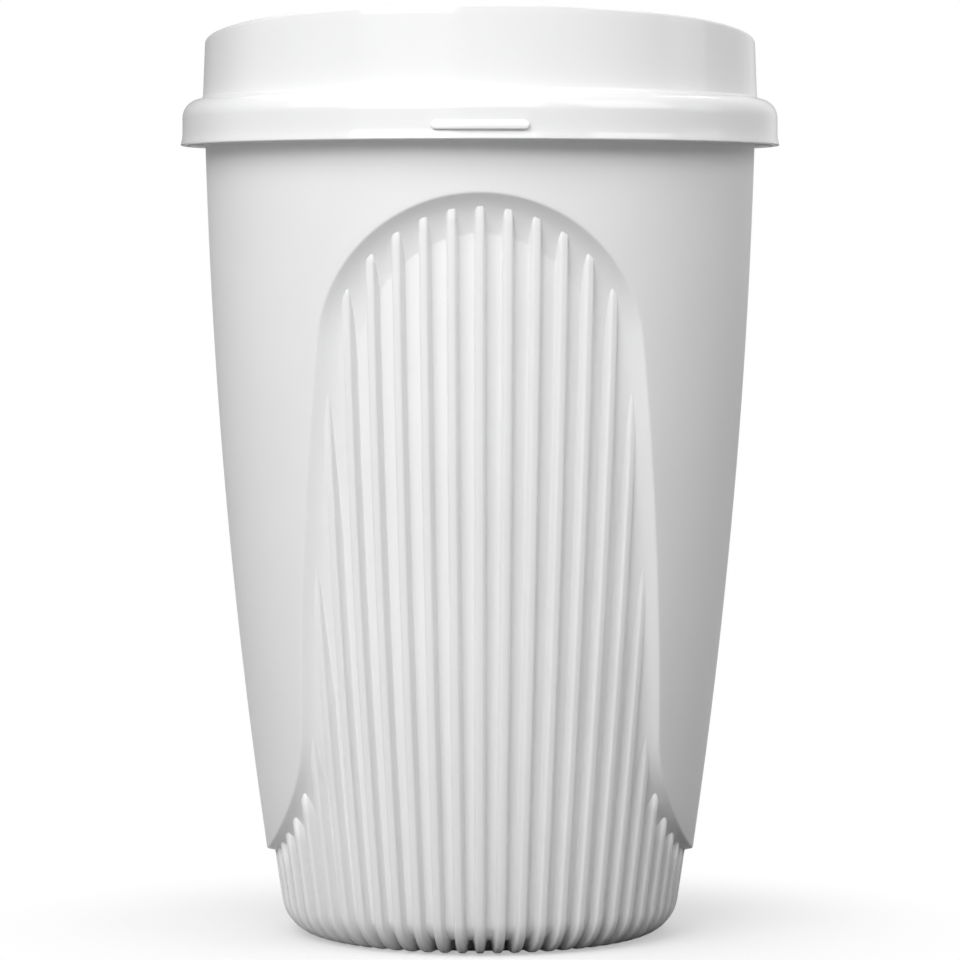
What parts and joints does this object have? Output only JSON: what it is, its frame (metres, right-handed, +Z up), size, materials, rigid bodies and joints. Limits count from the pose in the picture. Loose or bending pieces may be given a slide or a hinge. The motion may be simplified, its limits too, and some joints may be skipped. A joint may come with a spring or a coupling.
{
  "type": "reusable coffee cup with press-on lid",
  "caption": "Tapered white plastic takeaway cup with fine upright ribs showing through a tall arched window front and back, smooth side walls, and a slant-topped press-on sip lid.",
  "frame": {"origin": "on the table, under the cup's axis", "axes": "+Z up along the cup's axis; -Y is the front, where the lid is tallest and carries its thumb ridge and sip slot"},
  "size_m": [0.098, 0.0984, 0.1506],
  "materials": {
    "cup": "satin moulded plastic, fine even grain",
    "lid": "glossy moulded plastic"
  },
  "bodies": {
    "cup": {"cup": "cup"},
    "lid": {"lid": "lid"}
  },
  "joints": [
    {"name": "lid_lift", "type": "slide", "parent": "cup", "child": "lid", "axis": [0, 0, 1], "range_m": [0, 0.04]}
  ]
}
